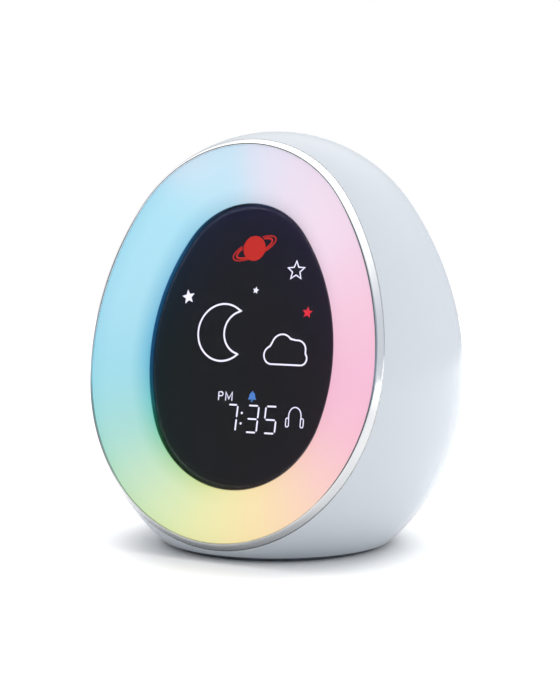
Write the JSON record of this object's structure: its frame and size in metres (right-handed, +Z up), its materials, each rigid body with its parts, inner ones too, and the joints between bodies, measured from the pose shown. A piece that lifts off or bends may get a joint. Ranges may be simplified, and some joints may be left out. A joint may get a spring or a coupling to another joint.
{
  "type": "alarm clock with night light",
  "caption": "Egg-shaped bedside alarm clock with a dished light ring around a smoked display window, rear push buttons, loudspeaker and sockets.",
  "frame": {"origin": "centre of the resting face, on the egg's vertical axis", "axes": "+Z up; -Y is the side that the display faces, +Y the back with the controls; +X to the right of someone who reads the display"},
  "size_m": [0.151, 0.1276, 0.165],
  "materials": {
    "gloss_white": "glossy",
    "chrome": "polished",
    "milky": "satin",
    "smoked": "glossy",
    "black_plastic": "matte",
    "white_plastic": "matte",
    "pcb": "satin",
    "led": "glossy",
    "chip": "matte",
    "shield": "satin",
    "steel": "satin",
    "ferrite": "matte",
    "paper": "matte",
    "foam": "matte",
    "copper": "satin",
    "button_grey": "satin",
    "panel_grey": "satin",
    "battery_wrap": "satin",
    "flat_cable": "satin",
    "lead": "satin",
    "pad": "matte"
  },
  "bodies": {
    "case": {"rear_shell": "gloss_white", "chrome_bezel": "chrome", "light_ring_diffuser": "milky", "display_lens": "smoked", "icon_film": "black_plastic", "icon_mask": "black_plastic", "display_board": "pcb", "display_leds": "led", "front_frame": "white_plastic", "ring_led_board": "pcb", "ring_leds": "led", "dust_cloth": "paper", "speaker_gasket": "foam", "speaker_basket": "steel", "speaker_magnet": "ferrite", "speaker_yoke": "steel", "speaker_surround": "foam", "control_panel": "panel_grey", "key_board": "pcb", "tact_switches": "chip", "port_panel": "panel_grey", "usb_socket": "steel", "usb_tongue": "black_plastic", "aux_socket": "black_plastic", "power_switch_body": "shield", "main_board": "pcb", "board_chips": "chip", "radio_module": "shield", "base_plate": "white_plastic", "base_pad": "pad", "battery_pack": "battery_wrap", "battery_cradle": "black_plastic", "display_ribbon": "flat_cable", "key_ribbon": "flat_cable", "speaker_leads": "lead", "battery_leads": "lead", "case_screws": "steel", "board_screws": "steel", "speaker_screws": "steel", "base_screws": "steel"},
    "button_time": {"button_time": "button_grey"},
    "button_alarm": {"button_alarm": "button_grey"},
    "button_light": {"button_light": "button_grey"},
    "button_volume_down": {"button_volume_down": "button_grey"},
    "button_play": {"button_play": "button_grey"},
    "button_volume_up": {"button_volume_up": "button_grey"},
    "cone": {"speaker_cone": "paper", "voice_coil": "copper"},
    "power_knob": {"power_switch_knob": "black_plastic"}
  },
  "joints": [
    {"name": "button_time_press", "type": "slide", "parent": "case", "child": "button_time", "axis": [0, -0.8957, -0.4446], "range_m": [0, 0.0008], "stiffness_N_per_m": 600, "springref_m": -0.0008},
    {"name": "button_alarm_press", "type": "slide", "parent": "case", "child": "button_alarm", "axis": [0, -0.8957, -0.4446], "range_m": [0, 0.0008], "stiffness_N_per_m": 600, "springref_m": -0.0008},
    {"name": "button_light_press", "type": "slide", "parent": "case", "child": "button_light", "axis": [0, -0.8957, -0.4446], "range_m": [0, 0.0008], "stiffness_N_per_m": 600, "springref_m": -0.0008},
    {"name": "button_volume_down_press", "type": "slide", "parent": "case", "child": "button_volume_down", "axis": [0, -0.8957, -0.4446], "range_m": [0, 0.0008], "stiffness_N_per_m": 600, "springref_m": -0.0008},
    {"name": "button_play_press", "type": "slide", "parent": "case", "child": "button_play", "axis": [0, -0.8957, -0.4446], "range_m": [0, 0.0008], "stiffness_N_per_m": 600, "springref_m": -0.0008},
    {"name": "button_volume_up_press", "type": "slide", "parent": "case", "child": "button_volume_up", "axis": [0, -0.8957, -0.4446], "range_m": [0, 0.0008], "stiffness_N_per_m": 600, "springref_m": -0.0008},
    {"name": "power_slide", "type": "slide", "parent": "case", "child": "power_knob", "axis": [1, 0, 0], "range_m": [0, 0.003]},
    {"name": "cone_travel", "type": "slide", "parent": "case", "child": "cone", "axis": [0, 1, 0], "range_m": [-0.0006, 0.0006], "stiffness_N_per_m": 900}
  ]
}
